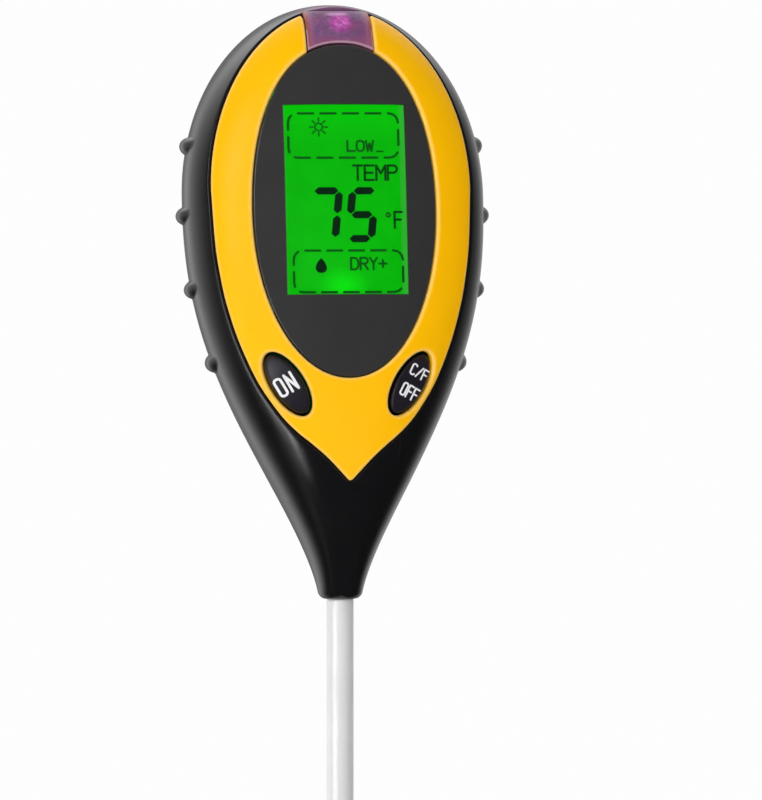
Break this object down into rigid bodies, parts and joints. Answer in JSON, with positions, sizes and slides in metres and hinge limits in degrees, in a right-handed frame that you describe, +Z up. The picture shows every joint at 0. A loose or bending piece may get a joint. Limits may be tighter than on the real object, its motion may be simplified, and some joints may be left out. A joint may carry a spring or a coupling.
{
  "type": "soil tester",
  "caption": "Hand-held soil tester: leaf-shaped head with a lit display, light sensor, push buttons and battery door, on one long pointed metal probe.",
  "frame": {"origin": "on the probe's axis, at the end face of the neck where the probe leaves it", "axes": "+Z up along the probe towards the head; the display faces -Y and leans back 7.5 degrees; +X to the right of someone reading the display"},
  "size_m": [0.0648, 0.0438, 0.3218],
  "materials": {
    "shell_black": "satin injection-moulded, lightly worn",
    "face_yellow": "semi-gloss moulded",
    "lens_smoked": "gloss, smoked",
    "sensor_purple": "gloss, translucent",
    "button_black": "satin rubber",
    "plunger_red": "moulded",
    "switch_black": "moulded",
    "display_green": "lit liquid crystal cell",
    "frame_white": "moulded",
    "light_guide": "polished, translucent",
    "led_lamp": "clear",
    "zebra_pink": "silicone",
    "board_green": "solder mask",
    "chip_black": "epoxy package",
    "chip_ceramic": "chip parts",
    "sensor_pink": "clear tinted",
    "screw_steel": "zinc plated",
    "screw_dark": "blackened",
    "foam_grey": "closed-cell foam",
    "battery_blue": "printed jacket, plain",
    "clip_black": "vinyl",
    "lead_red": "pvc insulation",
    "lead_blue": "pvc insulation",
    "probe_steel": "fine drawn",
    "collar_brass": "turned",
    "seal_rubber": "nitrile",
    "ring_white": "moulded",
    "tip_aluminium": "turned",
    "rod_brass": "drawn",
    "bead_black": "epoxy-coated bead"
  },
  "bodies": {
    "housing": {"front_shell": "shell_black", "rear_shell": "shell_black", "face_bezel": "face_yellow", "lens_window": "lens_smoked", "sensor_window": "sensor_purple", "on_switch": "switch_black", "off_switch": "switch_black", "display_glass": "display_green", "display_frame": "frame_white", "backlight_panel": "light_guide", "backlight_led": "led_lamp", "display_connector": "zebra_pink", "circuit_board": "board_green", "controller_chip": "chip_black", "board_components": "chip_ceramic", "light_sensor": "sensor_pink", "board_screws": "screw_steel", "housing_screws": "screw_dark", "battery_leads": "lead_red", "probe_tube": "probe_steel", "probe_collar": "collar_brass", "probe_seal": "seal_rubber", "probe_insulator": "ring_white", "probe_tip": "tip_aluminium", "probe_rod": "rod_brass", "probe_leads": "lead_blue", "temperature_sensor": "bead_black"},
    "on_button": {"on_button": "button_black", "on_plunger": "plunger_red"},
    "off_button": {"off_button": "button_black", "off_plunger": "plunger_red"},
    "door": {"battery_door": "shell_black", "battery_pad": "foam_grey"},
    "battery": {"battery_9v": "battery_blue", "battery_clip": "clip_black"}
  },
  "joints": [
    {"name": "on_button_press", "type": "slide", "parent": "housing", "child": "on_button", "axis": [0, 0.9914, -0.1305], "range_m": [0, 0.0006], "stiffness_N_per_m": 100},
    {"name": "off_button_press", "type": "slide", "parent": "housing", "child": "off_button", "axis": [0, 0.9914, -0.1305], "range_m": [0, 0.0006], "stiffness_N_per_m": 100},
    {"name": "battery_door_off", "type": "slide", "parent": "housing", "child": "door", "axis": [0, 0.9914, -0.1305], "range_m": [0, 0.06], "stiffness_N_per_m": 12},
    {"name": "battery_out", "type": "slide", "parent": "housing", "child": "battery", "axis": [0, 0.9914, -0.1305], "range_m": [0, 0.03]}
  ],
  "couplings": [
    {"joint": "battery_out", "follows": "battery_door_off", "ratio": 0.5}
  ]
}
